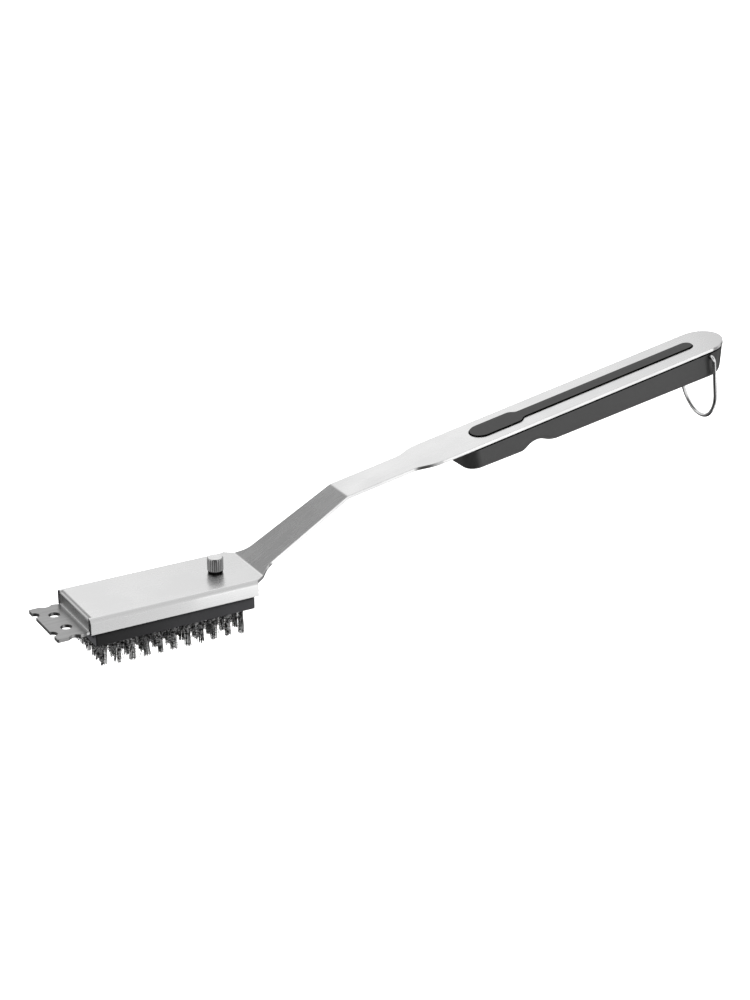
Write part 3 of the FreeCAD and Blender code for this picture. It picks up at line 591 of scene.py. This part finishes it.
def tube_mesh(name, paths, radius):
    """One mesh of closed tubes round all the paths."""
    count, points, _ = paths.shape
    ahead = np.gradient(paths, axis=1)
    ahead /= np.linalg.norm(ahead, axis=2, keepdims=True)
    side = np.cross(ahead, np.array([0.0, 1.0, 0.0]))
    side /= np.linalg.norm(side, axis=2, keepdims=True)
    other = np.cross(ahead, side)
    angles = np.linspace(0, 2 * math.pi, WIRE_SIDES, endpoint=False) + math.pi / WIRE_SIDES
    ring = (side[:, :, None, :] * np.cos(angles)[None, None, :, None]
            + other[:, :, None, :] * np.sin(angles)[None, None, :, None]) * radius
    vertices = (paths[:, :, None, :] + ring).reshape(-1, 3)
    faces = tube_faces(count, points)
    mesh = bpy.data.meshes.new(name)
    mesh.vertices.add(len(vertices))
    mesh.vertices.foreach_set("co", vertices.astype(np.float32).ravel())
    mesh.loops.add(faces.size)
    mesh.loops.foreach_set("vertex_index", faces.astype(np.int32).ravel())
    mesh.polygons.add(len(faces))
    starts = np.arange(len(faces)) * faces.shape[1]
    mesh.polygons.foreach_set("loop_start", starts.astype(np.int32))
    mesh.polygons.foreach_set("use_smooth", np.ones(len(faces), bool))
    mesh.update(calc_edges=True)
    mesh.validate()
    return mesh


def bristle_row(index):
    """Replaces the tufts of one row, which lies along X, with crimped wires."""
    node = "tuft_row_%d" % index
    rng = np.random.default_rng(TUFT_SEED + index)
    low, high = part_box(node)
    block_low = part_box("brush_block")[0].z
    radius = (high.y - low.y) / 2
    y = (low.y + high.y) / 2
    first = low.x + radius
    pitch = (high.x - low.x - 2 * radius) / (TUFTS_PER_ROW - 1)
    tufts = [wire_paths(rng, (first + pitch * i, y), radius, low.z, block_low + ROOT_HIDDEN,
                        1.0 if i < WORN_TUFTS else 0.0)
             for i in range(TUFTS_PER_ROW)]
    mesh = tube_mesh("bristles_%d" % index, np.concatenate(tufts), WIRE_RADIUS)
    mesh.materials.append(MATERIALS["bristle_wire"])
    piece = bpy.data.objects.new("bristles_%d" % index, mesh)
    show(piece)
    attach(piece, "brush_head")
    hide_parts(node)


# ---- stage -------------------------------------------------------------------------------
def camera():
    data = bpy.data.cameras.new("camera")
    data.sensor_fit = "VERTICAL"
    data.sensor_height = SENSOR_HEIGHT
    data.lens = CAMERA_LENS
    data.clip_end = CAMERA_FAR
    made = bpy.data.objects.new("camera", data)
    show(made)
    made.location = box_centre(CAD_BOX) + CAMERA_FROM_CENTRE
    made.rotation_euler = [math.radians(a) for a in CAMERA_TURN]
    bpy.context.scene.camera = made


def floor():
    """A glowing white floor, well below the tips, that shiny pieces don't reflect."""
    g = Surface("floor")
    cloud = g.noise(g.place().outputs["Object"], scale=3.0, detail=3.0, roughness=0.5)
    g.set(Base_Color=g.tint(cloud, grey(0.90), grey(0.93)), Roughness=0.8,
          Emission_Color=WHITE, Emission_Strength=FLOOR_GLOW)
    mesh = bpy.data.meshes.new("floor")
    z = Vector(CAD_BOX[0]).z - FLOOR_DROP
    h = FLOOR_HALF
    mesh.from_pydata([(-h, -h, z), (h, -h, z), (h, h, z), (-h, h, z)], [], [(0, 1, 2, 3)])
    mesh.materials.append(g.material)
    made = bpy.data.objects.new("floor", mesh)
    show(made)
    made.visible_glossy = False


def area_light(name, place, target, width, height, power, glossy=True):
    data = bpy.data.lights.new(name, "AREA")
    data.shape = "RECTANGLE"
    data.size = width
    data.size_y = height
    data.energy = power
    made = bpy.data.objects.new(name, data)
    show(made)
    made.location = place
    turn = (Vector(target) - Vector(place)).to_track_quat("-Z", "Y")
    made.rotation_euler = turn.to_euler()
    made.visible_glossy = glossy
    made.visible_camera = False


def lights():
    """A broad soft light overhead, and a small card beside the head's rear."""
    centre = box_centre(CAD_BOX)
    area_light("overhead", centre + OVERHEAD_FROM_CENTRE, centre,
               OVERHEAD_SIZE, OVERHEAD_SIZE, OVERHEAD_POWER, False)
    head_rear = Vector((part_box("brush_block")[1].x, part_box("brush_block")[0].y,
                        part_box("brush_block")[1].z))
    place = head_rear + CARD_FROM_HEAD
    area_light("card", place, place + Vector((0.0, 1.0, 0.0)), *CARD_SIZE, CARD_POWER)


def world():
    """Studio surround, shaped so that the bare steel reflects the photo's tones.

    It is bright above the horizon, apart from its dim areas, and mostly dark below it. The
    camera itself sees white."""
    made = bpy.data.worlds.new("studio")
    bpy.context.scene.world = made
    made.use_nodes = True
    background = made.node_tree.nodes["Background"]
    g = Tree(made.node_tree)
    direction = g.place().outputs["Generated"]
    x, y, z = g.split(direction)

    def lobe(towards, start, full):
        return g.ramp(g.dot(direction, Vector(towards).normalized()), start, full)

    upper = g.add(UPPER_LEVEL, g.times(lobe(*BRIGHT_LOBE), BRIGHT_GAIN))
    upper = g.less(upper, lobe(*DIM_LOBE), DIM_LOSS)
    upper = g.less(upper, g.ramp(x, *REAR_LOSS_RAMP), g.ramp(y, *AHEAD_RAMP))
    upper = g.less(upper, lobe(*OVERHEAD_LOBE), OVERHEAD_LOSS)
    upper = g.less(upper, lobe(*BEHIND_LOBE), BEHIND_LOSS)

    near = g.add(g.ramp(x, *NEAR_RAMP), g.times(lobe(*EDGE_LOBE), EDGE_GAIN))
    near = g.less(near, lobe(*BESIDE_EDGE_LOBE), BESIDE_EDGE_LOSS)
    far = g.ramp(z, *FAR_RAMP)
    beyond = g.ramp(y, *BEYOND_RAMP)
    lower = g.add(g.times(near, g.rest(beyond)), g.times(far, beyond))
    lower = g.times(lower, g.ramp(z, *UNDER_RAMP))
    lower = g.add(lower, g.times(lobe(*FLOOR_LOBE), FLOOR_GAIN))

    below = g.ramp(z, *BELOW_RAMP)
    level = g.add(g.times(upper, g.rest(below)), g.times(lower, below))
    seen = g.new("ShaderNodeLightPath").outputs["Is Camera Ray"]
    g.put(g.math("MAXIMUM", level, seen), background.inputs["Strength"])
    background.inputs["Color"].default_value = WHITE


camera()
floor()
world()
lights()
bpy.context.scene.view_settings.view_transform = "Standard"
dress_cad_nodes()
for row in range(1, ROWS + 1):
    bristle_row(row)
